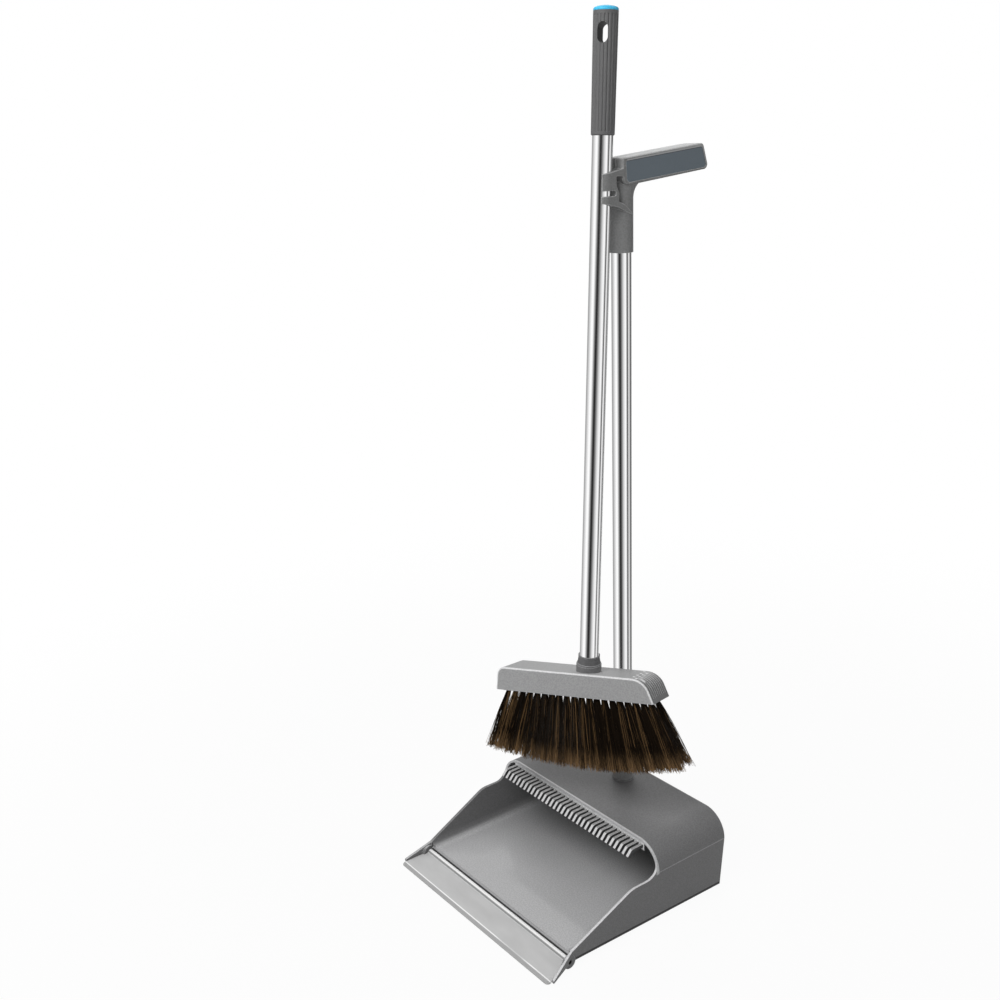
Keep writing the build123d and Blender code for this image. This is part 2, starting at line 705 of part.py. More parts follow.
# Grip screw: holds the sleeve on the pole, set from the rear.
with BuildPart() as grip_screw:
    with BuildSketch(Plane.XZ.offset(-sleeve_r - seat_gap)):
        with Locations((0, grip_screw_z)):
            Circle(grip_screw_r)
    extrude(amount=sleeve_r - tube_r - 2 * seat_gap)
    with BuildSketch(Plane.XZ.offset(-sleeve_r - seat_gap)):
        with Locations((0, grip_screw_z)):
            Circle(2 * grip_screw_r)
    extrude(amount=-grip_screw_r)
grip_screw.part.label = "grip_screw"
export_step(grip_screw.part, "parts/grip_screw.step")

# Broom pole: a stainless tube along the tilted broom line.
with BuildPart() as broom_tube:
    with BuildSketch(pole_frame.offset(broom_tube_low_w)):
        Circle(tube_r)
        Circle(tube_in_r, mode=Mode.SUBTRACT)
    extrude(amount=broom_tube_top_w - broom_tube_low_w)
broom_tube.part.label = "broom_tube"
export_step(broom_tube.part, "parts/broom_tube.step")

# Pole tip: collar and plug on the tube end, with the stud that screws into the head.
with BuildPart() as pole_tip:
    with BuildSketch(broom_section):
        with BuildLine():
            Polyline(
                (0, stud_low_w),
                (stud_r, stud_low_w),
                (stud_r, tip_collar_w),
                (tube_r + tip_flange_wall, tip_collar_w),
                (tube_r + tip_flange_wall, tip_collar_w + tip_flange_t),
                (tube_r + tip_low_wall, tip_collar_w + tip_flange_t),
                (tube_r + tip_top_wall, tip_top_w - tip_rim_t),
                (tube_r + tip_rim_wall, tip_top_w - tip_rim_t),
                (tube_r + tip_rim_wall, tip_top_w),
                (tube_r + seat_gap, tip_top_w),
                (tube_r + seat_gap, broom_tube_low_w - seat_gap),
                (tube_in_r - seat_gap, broom_tube_low_w - seat_gap),
                (tube_in_r - seat_gap, tip_plug_w),
                (0, tip_plug_w),
                (0, stud_low_w),
            )
        make_face()
    revolve(axis=broom_axis)
pole_tip.part.label = "pole_tip"
export_step(pole_tip.part, "parts/pole_tip.step")

# Broom grip: a fluted sleeve on the tube top with a hanging slot through it.
with BuildPart() as broom_grip:
    with BuildSketch(pole_frame.offset(grip_low_w + grip_end_len)):
        with BuildLine():
            Polyline(*low_flutes, low_flutes[0])
        make_face()
    with BuildSketch(pole_frame.offset(grip_top_w - grip_end_len)):
        with BuildLine():
            Polyline(*top_flutes, top_flutes[0])
        make_face()
    loft(ruled=True)
    with BuildSketch(broom_section):
        with BuildLine():
            Polyline(
                (0, grip_low_w),
                (grip_low_r - grip_chamfer, grip_low_w),
                (grip_low_r, grip_low_w + grip_chamfer),
                (grip_low_r, grip_low_w + grip_end_len),
                (0, grip_low_w + grip_end_len),
                (0, grip_low_w),
            )
        make_face()
        with BuildLine():
            Polyline(
                (0, grip_top_w),
                (grip_top_r, grip_top_w),
                (grip_top_r, grip_top_w - grip_end_len),
                (0, grip_top_w - grip_end_len),
                (0, grip_top_w),
            )
        make_face()
    revolve(axis=broom_axis)
    with BuildSketch(pole_frame.offset(grip_low_w)):
        Circle(tube_r + seat_gap)
    extrude(amount=broom_tube_top_w + seat_gap - grip_low_w, mode=Mode.SUBTRACT)
    with BuildSketch(slot_section):
        with Locations((0, hang_slot_mid_w)):
            SlotOverall(hang_slot_len, hang_slot_w, rotation=90)
    extrude(amount=2 * grip_top_r, both=True, mode=Mode.SUBTRACT)
    with BuildSketch(pole_frame.offset(grip_top_w)):
        Circle(cap_spigot_r + seat_gap)
    extrude(amount=-cap_spigot_len - seat_gap, mode=Mode.SUBTRACT)
broom_grip.part.label = "broom_grip"
export_step(broom_grip.part, "parts/broom_grip.step")

# Grip cap: a low domed plug in the top of the broom grip.
with BuildPart() as grip_cap:
    with BuildSketch(broom_section):
        with BuildLine():
            Polyline(
                (0, cap_low_w + cap_rise),
                (0, grip_top_w - cap_spigot_len),
                (cap_spigot_r, grip_top_w - cap_spigot_len),
                (cap_spigot_r, cap_low_w),
                (cap_r, cap_low_w),
                *dome_points,
                (0, cap_low_w + cap_rise),
            )
        make_face()
    revolve(axis=broom_axis)
grip_cap.part.label = "grip_cap"
export_step(grip_cap.part, "parts/grip_cap.step")

# Block cover: the moulded back of the broom head, grooved on its sloping right end.
with BuildPart() as block_cover:
    with BuildSketch(head_section) as block_side:
        with BuildLine():
            Polyline(
                (block_left_x, 0),
                (block_right_x, 0),
                (block_right_top_x, block_h),
                (block_left_top_x, block_h),
                (block_left_x, 0),
            )
        make_face()
        corners = block_side.vertices().sort_by(Axis.Y)[2:].sort_by(Axis.X)
        fillet(corners[0], radius=block_left_r)
        right_corner = block_side.vertices().sort_by_distance((block_right_top_x, block_h))[0]
        fillet(right_corner, radius=block_right_r)
    extrude(amount=block_half_t, both=True)
    long_faces = block_cover.faces().sort_by(head_across)
    rims = [e for f in (long_faces[0], long_faces[-1]) for e in f.edges().sort_by(head_up)[1:]]
    chamfer(rims, length=block_chamfer)
    groove_planes = [
        head_section.offset((i - (groove_count - 1) / 2) * groove_pitch) for i in range(groove_count)
    ]
    with BuildSketch(*groove_planes):
        with BuildLine():
            bend = CenterArc((end_mid_x, end_mid_w), groove_r, 90 - groove_start_deg, -groove_span_deg)
            Polyline(
                bend @ 1,
                (groove_end_x, groove_end_w),
                (block_right_x, groove_end_w),
                (block_right_x, block_h + groove_depth),
                ((bend @ 0).X, block_h + groove_depth),
                bend @ 0,
            )
        make_face()
    extrude(amount=groove_w / 2, both=True, mode=Mode.SUBTRACT)
    with BuildSketch(head_frame):
        with Locations((strip_mid_x, 0)):
            Rectangle(strip_len + 2 * seat_gap, strip_count * strip_w + 2 * seat_gap)
    extrude(amount=strip_t - strip_drop + seat_gap, mode=Mode.SUBTRACT)
    with BuildSketch(pole_frame.offset(stud_low_w - free_gap)):
        Circle(stud_r + free_gap)
    extrude(amount=2 * block_h, mode=Mode.SUBTRACT)
    with BuildSketch(pole_frame.offset(boss_foot_w - seat_gap)):
        Circle(boss_r + seat_gap)
    extrude(amount=2 * block_h, mode=Mode.SUBTRACT)
block_cover.part.label = "block_cover"
export_step(block_cover.part, "parts/block_cover.step")

# Boss ring: the round boss on the block that the pole tip turns in.
with BuildPart() as boss_ring:
    with BuildSketch(pole_frame.offset(boss_foot_w)):
        Circle(boss_r)
        Circle(stud_r + run_gap, mode=Mode.SUBTRACT)
    extrude(amount=boss_top_w - boss_foot_w)
boss_ring.part.label = "boss_ring"
export_step(boss_ring.part, "parts/boss_ring.step")


def strand_planes(row):
    # root planes of all the strands of one row, their normals along the strands
    row_y = row_places[row]
    row_lean = math.radians(row_fan_deg) * row_y / row_places[-1]
    splay = math.radians(strand_splay_deg)
    planes = []
    stagger = row % 2 / 2
    for i in range(tuft_count - row % 2):
        share = (i + stagger) / (tuft_count - 1)
        tuft_x = tuft_left_x + share * (tuft_right_x - tuft_left_x)
        lean = math.radians(fan_left_deg + share * (fan_right_deg - fan_left_deg))
        for k in range(tuft_strands):
            turn = 2 * math.pi * (k + (i % 2) / 2) / tuft_strands
            root_x = tuft_x + strand_ring_r * math.cos(turn)
            root_y = row_y + strand_ring_r * math.sin(turn)
            lean_x = math.tan(lean + splay * math.cos(turn))
            lean_y = math.tan(row_lean + splay * math.sin(turn))
            start = head_frame.from_local_coords((root_x, root_y, strand_root_w))
            below = head_frame.from_local_coords((root_x + lean_x, root_y + lean_y, strand_root_w - 1))
            planes.append(Plane(origin=start, x_dir=head_frame.x_dir, z_dir=below - start))
    return planes


# Bristles: each row of tufts is fused to its own strip of the backing plate.
with BuildPart() as bristles_1:
    with BuildSketch(head_frame.offset(-strip_drop)):
        with Locations((strip_mid_x, row_places[0])):
            Rectangle(strip_len, strip_w - 2 * seat_gap)
    extrude(amount=strip_t)
    with BuildSketch(*strand_planes(0)):
        RegularPolygon(strand_r, 3)
    extrude(amount=bristle_len)
bristles_1.part.label = "bristles_1"
export_step(bristles_1.part, "parts/bristles_1.step")

with BuildPart() as bristles_2:
    with BuildSketch(head_frame.offset(-strip_drop)):
        with Locations((strip_mid_x, row_places[1])):
            Rectangle(strip_len, strip_w - 2 * seat_gap)
    extrude(amount=strip_t)
    with BuildSketch(*strand_planes(1)):
        RegularPolygon(strand_r, 3)
    extrude(amount=bristle_len)
bristles_2.part.label = "bristles_2"
export_step(bristles_2.part, "parts/bristles_2.step")

with BuildPart() as bristles_3:
    with BuildSketch(head_frame.offset(-strip_drop)):
        with Locations((strip_mid_x, row_places[2])):
            Rectangle(strip_len, strip_w - 2 * seat_gap)
    extrude(amount=strip_t)
    with BuildSketch(*strand_planes(2)):
        RegularPolygon(strand_r, 3)
    extrude(amount=bristle_len)
bristles_3.part.label = "bristles_3"
export_step(bristles_3.part, "parts/bristles_3.step")

with BuildPart() as bristles_4:
    with BuildSketch(head_frame.offset(-strip_drop)):
        with Locations((strip_mid_x, row_places[3])):
            Rectangle(strip_len, strip_w - 2 * seat_gap)
    extrude(amount=strip_t)
    with BuildSketch(*strand_planes(3)):
        RegularPolygon(strand_r, 3)
    extrude(amount=bristle_len)
bristles_4.part.label = "bristles_4"
export_step(bristles_4.part, "parts/bristles_4.step")
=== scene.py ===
import math

import bpy
from mathutils import Matrix, Vector


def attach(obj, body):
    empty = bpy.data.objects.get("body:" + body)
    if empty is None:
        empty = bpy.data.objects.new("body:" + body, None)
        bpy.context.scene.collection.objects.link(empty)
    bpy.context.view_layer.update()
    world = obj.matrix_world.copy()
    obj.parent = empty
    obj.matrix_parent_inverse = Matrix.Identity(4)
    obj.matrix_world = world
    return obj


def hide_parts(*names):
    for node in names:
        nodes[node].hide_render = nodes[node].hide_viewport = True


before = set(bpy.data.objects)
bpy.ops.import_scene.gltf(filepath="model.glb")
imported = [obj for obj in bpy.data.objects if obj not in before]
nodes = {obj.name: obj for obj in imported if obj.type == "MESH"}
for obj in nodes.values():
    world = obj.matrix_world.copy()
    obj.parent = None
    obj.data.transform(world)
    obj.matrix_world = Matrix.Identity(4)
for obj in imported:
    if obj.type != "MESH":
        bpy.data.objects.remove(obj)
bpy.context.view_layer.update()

# Pan shell: the hooded pan with its floor, back, side walls and pole socket.
# One thick polypropylene moulding in mid grey with a fine spark texture, its rims painted paler as wear and
# highlight, its floor swept smooth and painted pale ahead of the hood as painted light, and its lower edge
# painted black as shade.
mm = 0.001
bead_y = -193.0 * mm
bead_z = 7.5 * mm
channel_radius = 8.4 * mm
pivot_radius = 2.5 * mm
pivot_inside = 127.0 * mm
slit_y = -189.4 * mm
slit_z = 9.6 * mm
mouth_half = 125.4 * mm
floor_level = 16.0 * mm
crease_z = 62.0 * mm
crease_half = 133.0 * mm
rim_inside = 124.5 * mm
hood_front = -73.0 * mm
rear_y = 29.0 * mm
skirt_inside = 123.0 * mm
skirt_low = 0.4 * mm
skirt_rise = 5.6 / 222.0
contact_shade_height = 3.0 * mm
pale_from = -5.0 * mm
pale_to = -135.0 * mm
pale_slant = 0.2
pale_least = 0.25
streak_depth = 0.1
pan_tone = (0.16, 0.16, 0.162)
contact_shade_black = (0.006, 0.006, 0.006)
slit_shade_black = (0.012, 0.012, 0.012)
hole_shade_black = (0.008, 0.008, 0.008)
rightward = (1.0, 0.0, 0.0)
upward = (0.0, 0.0, 1.0)


class Wire:
    """A node's output, with the arithmetic that a finish or a node tree is written in."""

    def __init__(self, tree, socket):
        self.tree = tree
        self.socket = socket

    def work(self, operation, first, second):
        return self.tree.node("ShaderNodeMath", {"operation": operation}, {0: first, 1: second})

    def __add__(self, other):
        return self.work("ADD", self, other)

    def __radd__(self, other):
        return self.work("ADD", other, self)

    def __sub__(self, other):
        return self.work("SUBTRACT", self, other)

    def __rsub__(self, other):
        return self.work("SUBTRACT", other, self)

    def __mul__(self, other):
        return self.work("MULTIPLY", self, other)

    def __rmul__(self, other):
        return self.work("MULTIPLY", other, self)

    def __truediv__(self, other):
        return self.work("DIVIDE", self, other)


class Tree:
    """A shader or geometry node tree that nodes are added to, one call each."""

    def __init__(self, tree):
        self.tree = tree

    def node(self, kind, settings, sockets, output=0):
        made = self.tree.nodes.new(kind)
        for name, value in settings.items():
            if name == "stops":
                ramp = made.color_ramp
                while len(ramp.elements) < len(value):
                    ramp.elements.new(1.0)
                for element, (place, grey) in zip(ramp.elements, value):
                    element.position = place
                    element.color = (grey, grey, grey, 1.0)
            else:
                setattr(made, name, value)
        for name, value in sockets.items():
            for source in value if isinstance(value, list) else [value]:
                if isinstance(source, Wire):
                    self.tree.links.new(source.socket, made.inputs[name])
                else:
                    made.inputs[name].default_value = source
        return Wire(self, made.outputs[output]) if made.outputs else None

    def one(self, operation, value):
        return self.node("ShaderNodeMath", {"operation": operation}, {0: value})

    def length(self, first, second):
        # length of the long side over two short ones
        return self.one("SQRT", first * first + second * second)

    def fade(self, value, low, high, start=0.0, end=1.0):
        return self.node(
            "ShaderNodeMapRange",
            {"interpolation_type": "SMOOTHSTEP"},
            {"Value": value, "From Min": low, "From Max": high, "To Min": start, "To Max": end},
        )

    def under(self, value, limit, soft):
        # 1 below a limit, fading out over a soft edge above it
        return self.fade(value, limit + soft, limit)

    def over(self, value, limit, soft):
        # 1 above a limit, fading out over a soft edge below it
        return self.fade(value, limit - soft, limit)

    def near(self, value, middle, reach, soft):
        # 1 within reach of a middle value, fading out over a soft edge beyond it
        return self.under(self.one("ABSOLUTE", value - middle), reach, soft)

    def tint(self, share, first, second, blend="MIX"):
        # the sockets go by number: the share, both colours, and the colour that comes out
        first = first if isinstance(first, Wire) else (*first, 1.0)
        second = second if isinstance(second, Wire) else (*second, 1.0)
        return self.node(
            "ShaderNodeMix",
            {"data_type": "RGBA", "blend_type": blend},
            {0: share, 6: first, 7: second},
            2,
        )

    def noise(self, spot, scale=1.0, detail=2.0, roughness=0.5):
        return self.node(
            "ShaderNodeTexNoise",
            {},
            {"Vector": spot, "Scale": scale, "Detail": detail, "Roughness": roughness},
        )

    def place(self, scale=(1.0, 1.0, 1.0)):
        spot = self.node("ShaderNodeTexCoord", {}, {}, "Object")
        return self.node("ShaderNodeMapping", {}, {"Vector": spot, "Scale": scale})

    def along(self, axis):
        spot = self.node("ShaderNodeTexCoord", {}, {}, "Object")
        return self.node("ShaderNodeSeparateXYZ", {}, {"Vector": spot}, axis)

    def aside(self):
        # distance to either side of the pan's middle
        return self.one("ABSOLUTE", self.along("X"))

    def from_bead(self):
        # distance from the line that the lip turns on
        return self.length(self.along("Y") - bead_y, self.along("Z") - bead_z)

    def dot(self, first, second):
        return self.node(
            "ShaderNodeVectorMath", {"operation": "DOT_PRODUCT"}, {0: first, 1: second}, "Value"
        )

    def facing(self, way):
        # how far the surface faces a way, in the piece's own frame
        return self.dot(self.node("ShaderNodeTexCoord", {}, {}, "Normal"), way)

    def rims(self, radius):
        # the surface normal with its edges rounded, and how far it is turned there
        rounded = self.node("ShaderNodeBevel", {"samples": 8}, {"Radius": radius})
        flat = self.node("ShaderNodeNewGeometry", {}, {}, "Normal")
        turned = 1.0 - self.dot(flat, rounded)
        return rounded, self.fade(turned, low=0.004, high=0.1)


def new_finish(name):
    material = bpy.data.materials.new(name)
    material.use_nodes = True
    material.node_tree.nodes.clear()
    return material, Tree(material.node_tree)


def put_on(material, *names):
    for name in names:
        for slot in nodes[name].material_slots:
            slot.material = material


def shaded(tone, factor):
    return tuple(factor * part for part in tone)


def moulded_plastic(name, tone, roughness, grain=700.0, depth=0.04 * mm, rim=1.9, radius=1.4 * mm, zones=()):
    # spark-textured moulding: slow shade drift, fine flecks, rounded rims painted paler as wear and as
    # painted highlight and made smoother, and zones of their own tone and roughness laid over it, the
    # texture worn away where they are smooth
    drift_tone = 0.06
    drift_rough = 0.08
    rubbed_smooth = 0.06
    material, finish = new_finish(name)
    spot = finish.place()
    drift = finish.noise(spot, scale=9.0, detail=3.0)
    speck = finish.noise(spot, scale=grain, roughness=0.6)
    rounded, rim_wear_and_highlight = finish.rims(radius)
    body = finish.tint(drift, shaded(tone, 1.0 - drift_tone), shaded(tone, 1.0 + drift_tone))
    # the rims painted paler, as edge wear and as a painted highlight where the edges catch the light
    body = finish.tint(rim_wear_and_highlight, body, shaded(tone, rim))
    rough = roughness + drift_rough * drift - rubbed_smooth * rim_wear_and_highlight
    for cover, zone_tone, zone_roughness in zones:
        share = cover(finish)
        body = finish.tint(share, body, zone_tone)
        rough = rough + share * (zone_roughness - roughness)
    flecks = finish.fade(speck, low=0.38, high=0.62, start=0.92, end=1.13)
    body = finish.tint(1.0, body, flecks, "MULTIPLY")
    texture = speck * finish.over(rough, limit=0.5, soft=0.3)
    relief = finish.node(
        "ShaderNodeBump", {}, {"Strength": 0.35, "Distance": depth, "Height": texture, "Normal": rounded}
    )
    shader = finish.node(
        "ShaderNodeBsdfPrincipled",
        {},
        {"Base Color": body, "Roughness": rough, "Normal": relief, "Specular IOR Level": 0.45},
    )
    finish.node("ShaderNodeOutputMaterial", {}, {"Surface": shader})
    return material


def smooth_floor(finish):
    # the floor between the side walls, polished by sweeping
    low = finish.under(finish.along("Z"), floor_level, soft=6.0 * mm)
    return low * finish.over(finish.facing(upward), 0.95, soft=0.45)


def lit_floor_paint(finish):
    # painted light on the floor ahead of the hood: paler towards the mouth, in streaks running front to back
    run = finish.along("Y") - pale_slant * finish.along("X")
    ahead = finish.fade(run, pale_from, pale_to, start=pale_least)
    streaks = finish.noise(finish.place((45.0, 6.0, 6.0)))
    return smooth_floor(finish) * ahead * (1.0 - streak_depth / 2 + streak_depth * streaks)


def crease_highlight(finish):
    # a painted highlight along the fine step in the mould where the side walls meet the hood, outside only
    line = finish.near(finish.along("Z"), crease_z, reach=0.4 * mm, soft=0.5 * mm)
    return line * finish.over(finish.aside(), crease_half, soft=1.5 * mm)


def bead_slit_shade(finish):
    # painted shade in the slit behind the bead of the lip, at the front edge of the floor
    between = finish.under(finish.aside(), mouth_half, soft=0.8 * mm)
    front = finish.under(finish.along("Y"), slit_y, soft=0.6 * mm)
    return front * finish.over(finish.along("Z"), slit_z, soft=0.6 * mm) * between


def pivot_hole_shade(finish):
    # the holes at both ends of the lip's channel, painted black as the shade inside them
    bore = finish.under(finish.from_bead(), pivot_radius, soft=0.5 * mm)
    return bore * finish.over(finish.aside(), pivot_inside, soft=1.0 * mm)


def right_rim_highlight(finish):
    # a painted highlight on the flat top edge of the right wall ahead of the hood
    flat = finish.under(finish.one("ABSOLUTE", finish.facing(rightward)), 0.3, soft=0.2)
    on_top = finish.over(finish.facing(upward), 0.35, soft=0.15)
    at_side = finish.over(finish.along("X"), rim_inside, soft=2.0 * mm)
    clear = finish.over(finish.from_bead(), channel_radius, soft=0.8 * mm)
    ahead = finish.under(finish.along("Y"), hood_front - 1.0 * mm, soft=3.0 * mm)
    return flat * on_top * at_side * clear * ahead


def hood_rim_highlight(finish):
    # a painted highlight on the rounded front edge of the hood
    edge = finish.near(finish.along("Y"), hood_front, reach=1.4 * mm, soft=1.0 * mm)
    return edge * finish.over(finish.along("Z"), crease_z - 0.5 * mm, soft=3.0 * mm)


def skirt_contact_shade(finish):
    # painted shade along the lower edge of the side walls, where they stand on the floor
    edge_z = skirt_low + (rear_y - finish.along("Y")) * skirt_rise
    low = finish.under(finish.along("Z") - edge_z, contact_shade_height, soft=0.8 * mm)
    behind_bead = finish.over(finish.along("Y"), bead_y + 10.0 * mm, soft=4.0 * mm)
    return low * behind_bead * finish.over(finish.aside(), skirt_inside, soft=3.0 * mm)


pan_grey = moulded_plastic(
    "pan_grey",
    pan_tone,
    roughness=0.55,
    rim=2.4,
    zones=[
        (smooth_floor, pan_tone, 0.07),
        (lit_floor_paint, shaded(pan_tone, 3.1), 0.55),
        (crease_highlight, shaded(pan_tone, 1.7), 0.36),
        (bead_slit_shade, slit_shade_black, 0.6),
        (pivot_hole_shade, hole_shade_black, 0.6),
        (right_rim_highlight, shaded(pan_tone, 4.4), 0.3),
        (hood_rim_highlight, shaded(pan_tone, 3.4), 0.3),
        (skirt_contact_shade, contact_shade_black, 0.6),
    ],
)
put_on(pan_grey, "pan_shell")

# Comb: the row of bent teeth under the hood rim that strips hair from the broom.
# A separate moulding of the same plastic in a paler batch, its teeth rounded, pushed in behind the rim.
comb_tone = (0.32, 0.32, 0.322)
frontward = (0.0, -1.0, 0.0)


def tooth_flank_shade(finish):
    # painted shade on the flanks of the teeth, in the gaps between them
    return finish.over(finish.one("ABSOLUTE", finish.facing(rightward)), 0.8, soft=0.2)


def tooth_tip_highlight(finish):
    # a painted highlight on the bent tips, which are also made smoother
    return finish.over(finish.facing(frontward), 0.5, soft=0.2)


comb_grey = moulded_plastic(
    "comb_grey",
    comb_tone,
    roughness=0.2,
    grain=2200.0,
    rim=2.6,
    radius=0.9 * mm,
    zones=[(tooth_tip_highlight, shaded(comb_tone, 2.2), 0.16), (tooth_flank_shade, shaded(comb_tone, 0.2), 0.5)],
)
put_on(comb_grey, "comb")

# Lip: the soft strip along the mouth that lies on the floor, hung on a hollow bead.
# Extruded pale rubber with faint lengthwise die lines, the top of the bead painted white as a highlight, the
# front bevelled off and painted darker as shade below a crest painted pale as a highlight.
lip_bevel_y = -223.0 * mm
lip_crest_y = -222.6 * mm
lip_fold_y = bead_y - 2.7 * mm
bead_back_y = bead_y + 2.5 * mm
bead_top_half = 1.4 * mm
bead_hollow = 2.2 * mm
lip_roughness = 0.3
smear_rough = 0.15
lip_tone = (0.54, 0.54, 0.54)
crest_highlight_white = (0.95, 0.95, 0.95)
bead_highlight_white = (0.98, 0.98, 0.98)
bead_shadow = (0.02, 0.02, 0.02)
hollow_shade_black = (0.01, 0.01, 0.01)
lip_rubber, finish = new_finish("lip_rubber")
die_lines = finish.noise(finish.place((4.0, 900.0, 900.0)), detail=3.0)
smear = finish.noise(finish.place((22.0, 60.0, 60.0)), detail=4.0)
lip_rounded, lip_rim_wear_and_highlight = finish.rims(1.2 * mm)
lip_y = finish.along("Y")
# a painted highlight along the crest, broken up by the smear
crest_highlight_mask = finish.near(lip_y, lip_crest_y, reach=0.5 * mm, soft=0.4 * mm)
crest_highlight_mask = crest_highlight_mask * finish.fade(smear, low=0.4, high=0.55, start=0.25)
rubber = finish.tint(smear, shaded(lip_tone, 0.86), shaded(lip_tone, 1.16))
# rims painted paler as wear and highlight, the sloping bevel and the fold painted darker as shade, painted
# shadow behind the bead, a painted highlight on the bead's top and painted shade in its hollow
for share, tone in (
    (lip_rim_wear_and_highlight, shaded(lip_tone, 1.45)),
    (finish.under(lip_y, lip_bevel_y - 0.5 * mm, soft=0.5 * mm), shaded(lip_tone, 0.75)),
    (crest_highlight_mask, crest_highlight_white),
    (finish.near(lip_y, lip_fold_y, reach=0.3 * mm, soft=0.4 * mm), shaded(lip_tone, 0.5)),
    (finish.over(lip_y, bead_back_y, soft=0.4 * mm), bead_shadow),
    (finish.near(lip_y, bead_y, reach=bead_top_half, soft=0.8 * mm), bead_highlight_white),
    (finish.under(finish.from_bead(), bead_hollow, soft=0.4 * mm), hollow_shade_black),
):
    rubber = finish.tint(share, rubber, tone)
lip_relief = finish.node(
    "ShaderNodeBump",
    {},
    {"Strength": 0.25, "Distance": 0.05 * mm, "Height": die_lines, "Normal": lip_rounded},
)
lip_shader = finish.node(
    "ShaderNodeBsdfPrincipled",
    {},
    {"Base Color": rubber, "Roughness": lip_roughness + smear_rough * smear, "Normal": lip_relief},
)
finish.node("ShaderNodeOutputMaterial", {}, {"Surface": lip_shader})
put_on(lip_rubber, "lip")

# Feet: three round pads under the back of the pan.
# Black rubber discs pressed into the ribs of the floor.
foot_tone = (0.03, 0.03, 0.03)
foot_black = moulded_plastic("foot_black", foot_tone, roughness=0.65, grain=900.0)
put_on(foot_black, "foot_mid", "foot_left", "foot_right")

# Pan pole: a seamed stainless tube standing in the hood, with its collar, plug, washer and screw.
# Polished along its length, so fine draw lines run up it; the collar and plug are moulded in grey.
steel_dull = (0.8, 0.8, 0.805)
steel_bright = (0.88, 0.88, 0.882)
steel_uneven = 0.03
collar_tone = (0.33, 0.33, 0.332)


def drawn_steel(name, roughness, line_depth):
    # bare steel with draw lines up its length and a slow haze
    material, finish = new_finish(name)
    lines = finish.noise(finish.place((700.0, 700.0, 3.0)), detail=3.0, roughness=0.6)
    haze = finish.noise(finish.place((30.0, 30.0, 5.0)))
    metal = finish.tint(lines, steel_dull, steel_bright)
    rough = roughness + steel_uneven * lines + steel_uneven * haze
    relief = finish.node("ShaderNodeBump", {}, {"Strength": 0.2, "Distance": line_depth, "Height": lines})
    shader = finish.node(
        "ShaderNodeBsdfPrincipled",
        {},
        {"Base Color": metal, "Metallic": 1.0, "Roughness": rough, "Normal": relief},
    )
    finish.node("ShaderNodeOutputMaterial", {}, {"Surface": shader})
    return material


tube_steel = drawn_steel("tube_steel", roughness=0.07, line_depth=0.006 * mm)
put_on(tube_steel, "pole_tube")
collar_grey = moulded_plastic("collar_grey", collar_tone, roughness=0.45, rim=0.4, radius=0.8 * mm)
put_on(collar_grey, "socket_collar", "pole_plug")
screw_steel = drawn_steel("screw_steel", roughness=0.25, line_depth=0.03 * mm)
put_on(screw_steel, "pole_washer", "pole_screw")

# Hand grip: the sleeve, arm and split clip on top of the pan pole.
# The pan's plastic again, screwed through the sleeve from behind, the top of its arm painted pale as a
# highlight.
arm_root = -9.5 * mm
arm_root_z = 789.0 * mm
arm_end = 104.5 * mm
arm_end_z = 800.0 * mm
arm_climb = (arm_end_z - arm_root_z) / (arm_end - arm_root)
grip_tone = (0.19, 0.192, 0.192)


def arm_top(finish):
    # height of the top of the arm, which climbs towards its end
    return arm_root_z + (finish.along("Y") - arm_root) * arm_climb


def arm_top_highlight(finish):
    # a painted highlight on the top face of the arm
    on_top = finish.over(finish.along("Z") - arm_top(finish), -0.4 * mm, soft=1.2 * mm)
    return on_top * finish.over(finish.along("Y"), 0.0, soft=12.0 * mm)


grip_grey = moulded_plastic(
    "grip_grey",
    grip_tone,
    roughness=0.42,
    rim=2.3,
    zones=[(arm_top_highlight, shaded(grip_tone, 2.9), 0.34)],
)
put_on(grip_grey, "hand_grip")
put_on(screw_steel, "grip_screw")

# Side panels: slate inlays let into both flat sides of the arm.
# Thin soft-touch plates with a fine pebbled surface and a pale moulded border, glued into their recesses.
arm_end_slope = 8.5 / 26.0
border_round = 6.5 * mm
border_width = 3.5 * mm
slate_tone = (0.126, 0.155, 0.18)


def off_border(finish):
    # distance in from the top and end of the arm, rounded at their corner
    below_top = arm_top(finish) - finish.along("Z")
    before_end = arm_end + (arm_end_z - finish.along("Z")) * arm_end_slope - finish.along("Y")
    short_z = finish.fade(below_top, 0.0, border_round, start=border_round, end=0.0)
    short_y = finish.fade(before_end, 0.0, border_round, start=border_round, end=0.0)
    return border_round - finish.length(short_z, short_y)


def panel_border(finish):
    # the pale frame along the top and end of the panel
    return finish.under(off_border(finish), border_width - 0.2 * mm, soft=0.4 * mm)


def panel_groove(finish):
    # the fine dark line inside that frame
    return finish.near(off_border(finish), border_width + 0.5 * mm, reach=0.3 * mm, soft=0.5 * mm)


slate = moulded_plastic(
    "panel_slate",
    slate_tone,
    roughness=0.5,
    grain=1900.0,
    depth=0.12 * mm,
    rim=1.8,
    radius=0.9 * mm,
    zones=[(panel_groove, shaded(slate_tone, 0.45), 0.5), (panel_border, shaded(grip_tone, 2.0), 0.42)],
)
put_on(slate, "panel_right", "panel_left")

# Broom pole: a second stainless tube, snapped into the clip, with a threaded plastic tip.
# The same drawn tube as the pan pole; the tip is moulded in dark grey, its edges painted pale as wear and
# highlight.
tip_tone = (0.1, 0.1, 0.102)
put_on(tube_steel, "broom_tube")
tip_grey = moulded_plastic("tip_grey", tip_tone, roughness=0.45, rim=3.2, radius=0.9 * mm)
put_on(tip_grey, "pole_tip")

